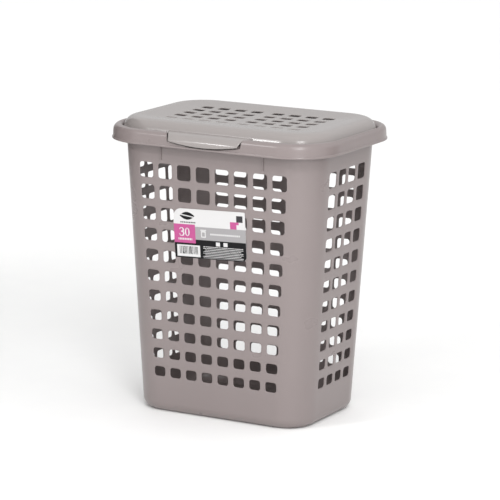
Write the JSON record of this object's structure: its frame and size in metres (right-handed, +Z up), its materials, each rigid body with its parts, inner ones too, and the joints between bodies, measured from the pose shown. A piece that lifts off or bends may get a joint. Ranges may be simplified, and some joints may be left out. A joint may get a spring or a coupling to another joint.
{
  "type": "laundry hamper with lid",
  "caption": "Tapered rectangular laundry hamper of perforated moulded plastic with a hinged, domed, vented lid, a thumb tab and a printed card on the front.",
  "frame": {"origin": "centre of the flat underside that the hamper stands on", "axes": "+Z up, +X to the right along the long side, -Y towards the front where the thumb tab and the printed card are"},
  "size_m": [0.3816, 0.2955, 0.457],
  "materials": {
    "basket_plastic": "satin taupe polypropylene, as moulded",
    "lid_plastic": "satin taupe polypropylene, as moulded",
    "printed_card": "printed and film-coated"
  },
  "bodies": {
    "tub": {"basket": "basket_plastic", "label_card": "printed_card"},
    "cover": {"lid": "lid_plastic"}
  },
  "joints": [
    {"name": "lid_hinge", "type": "hinge", "parent": "tub", "child": "cover", "pos_m": [0, 0.13903, 0.44], "axis": [-1, 0, 0], "range_deg": [0, 105]}
  ]
}
